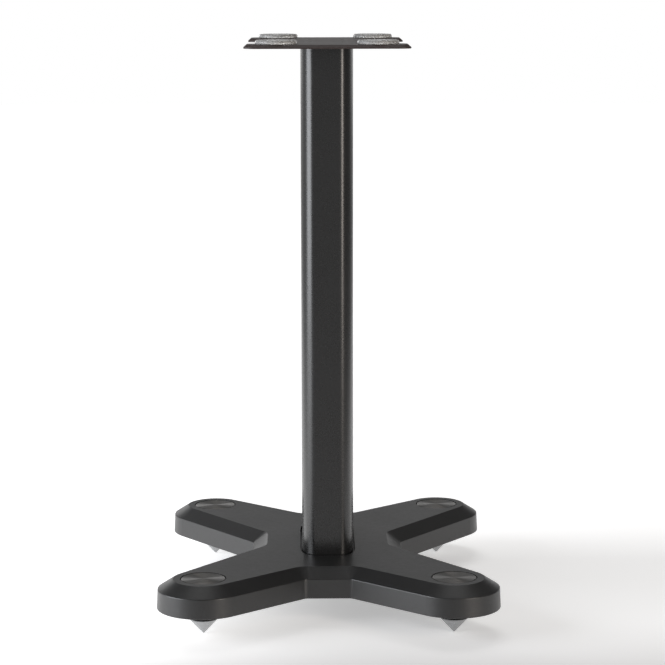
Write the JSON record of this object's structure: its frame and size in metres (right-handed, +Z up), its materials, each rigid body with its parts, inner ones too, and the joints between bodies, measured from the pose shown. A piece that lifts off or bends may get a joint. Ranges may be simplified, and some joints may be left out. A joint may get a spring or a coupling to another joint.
{
  "type": "speaker stand",
  "caption": "Floor-standing loudspeaker stand: X-shaped cast base on levelling spikes, deep oblong column and H-shaped top plate with gel pads.",
  "frame": {"origin": "on the floor, midway between the four spike tips, under the centre of the column", "axes": "+Z up, +X to the stand's right as seen from the front, +Y to the rear; the front faces -Y"},
  "size_m": [0.354, 0.4208, 0.6043],
  "materials": {
    "cast_paint": "fine-textured satin black powder coat on die-cast aluminium",
    "column_paint": "satin black powder coat on extruded aluminium",
    "plate_paint": "satin black powder coat on 4 mm steel",
    "turned_dial": "dark bronze-grey plated, concentric turning marks",
    "bright_steel": "bright turned and plated steel",
    "plated_steel": "zinc-plated steel",
    "black_screw": "black oxide socket screw",
    "brass": "machined brass",
    "silicone_gel": "translucent pale grey silicone gel",
    "gasket_rubber": "thin black foam rubber"
  },
  "bodies": {
    "stand": {"base_casting": "cast_paint", "column_extrusion": "column_paint", "column_foot_gasket": "gasket_rubber", "column_top_gasket": "gasket_rubber", "base_to_column_screws": "black_screw", "base_screw_washers": "plated_steel", "top_plate": "plate_paint", "top_plate_screws": "black_screw", "front_left_spike_bush": "brass", "front_left_gel_pad": "silicone_gel", "front_right_spike_bush": "brass", "front_right_gel_pad": "silicone_gel", "rear_left_spike_bush": "brass", "rear_left_gel_pad": "silicone_gel", "rear_right_spike_bush": "brass", "rear_right_gel_pad": "silicone_gel"},
    "front_left_dial": {"front_left_levelling_dial": "turned_dial", "front_left_dial_circlip": "plated_steel"},
    "front_left_foot": {"front_left_spike": "bright_steel"},
    "front_right_dial": {"front_right_levelling_dial": "turned_dial", "front_right_dial_circlip": "plated_steel"},
    "front_right_foot": {"front_right_spike": "bright_steel"},
    "rear_left_dial": {"rear_left_levelling_dial": "turned_dial", "rear_left_dial_circlip": "plated_steel"},
    "rear_left_foot": {"rear_left_spike": "bright_steel"},
    "rear_right_dial": {"rear_right_levelling_dial": "turned_dial", "rear_right_dial_circlip": "plated_steel"},
    "rear_right_foot": {"rear_right_spike": "bright_steel"}
  },
  "joints": [
    {"name": "front_left_dial_turn", "type": "hinge", "parent": "stand", "child": "front_left_dial", "pos_m": [-0.129, -0.1625, 0.058], "axis": [0, 0, 1], "range_deg": [-1080, 1080]},
    {"name": "front_left_spike_travel", "type": "slide", "parent": "front_left_dial", "child": "front_left_foot", "axis": [0, 0, 1], "range_m": [-0.00451, 0.00451]},
    {"name": "front_right_dial_turn", "type": "hinge", "parent": "stand", "child": "front_right_dial", "pos_m": [0.129, -0.1625, 0.058], "axis": [0, 0, 1], "range_deg": [-1080, 1080]},
    {"name": "front_right_spike_travel", "type": "slide", "parent": "front_right_dial", "child": "front_right_foot", "axis": [0, 0, 1], "range_m": [-0.00451, 0.00451]},
    {"name": "rear_left_dial_turn", "type": "hinge", "parent": "stand", "child": "rear_left_dial", "pos_m": [-0.129, 0.1625, 0.058], "axis": [0, 0, 1], "range_deg": [-1080, 1080]},
    {"name": "rear_left_spike_travel", "type": "slide", "parent": "rear_left_dial", "child": "rear_left_foot", "axis": [0, 0, 1], "range_m": [-0.00451, 0.00451]},
    {"name": "rear_right_dial_turn", "type": "hinge", "parent": "stand", "child": "rear_right_dial", "pos_m": [0.129, 0.1625, 0.058], "axis": [0, 0, 1], "range_deg": [-1080, 1080]},
    {"name": "rear_right_spike_travel", "type": "slide", "parent": "rear_right_dial", "child": "rear_right_foot", "axis": [0, 0, 1], "range_m": [-0.00451, 0.00451]}
  ],
  "couplings": [
    {"joint": "front_left_spike_travel", "follows": "front_left_dial_turn", "m_per_rad": 0.00023873},
    {"joint": "front_right_spike_travel", "follows": "front_right_dial_turn", "m_per_rad": 0.00023873},
    {"joint": "rear_left_spike_travel", "follows": "rear_left_dial_turn", "m_per_rad": 0.00023873},
    {"joint": "rear_right_spike_travel", "follows": "rear_right_dial_turn", "m_per_rad": 0.00023873}
  ]
}
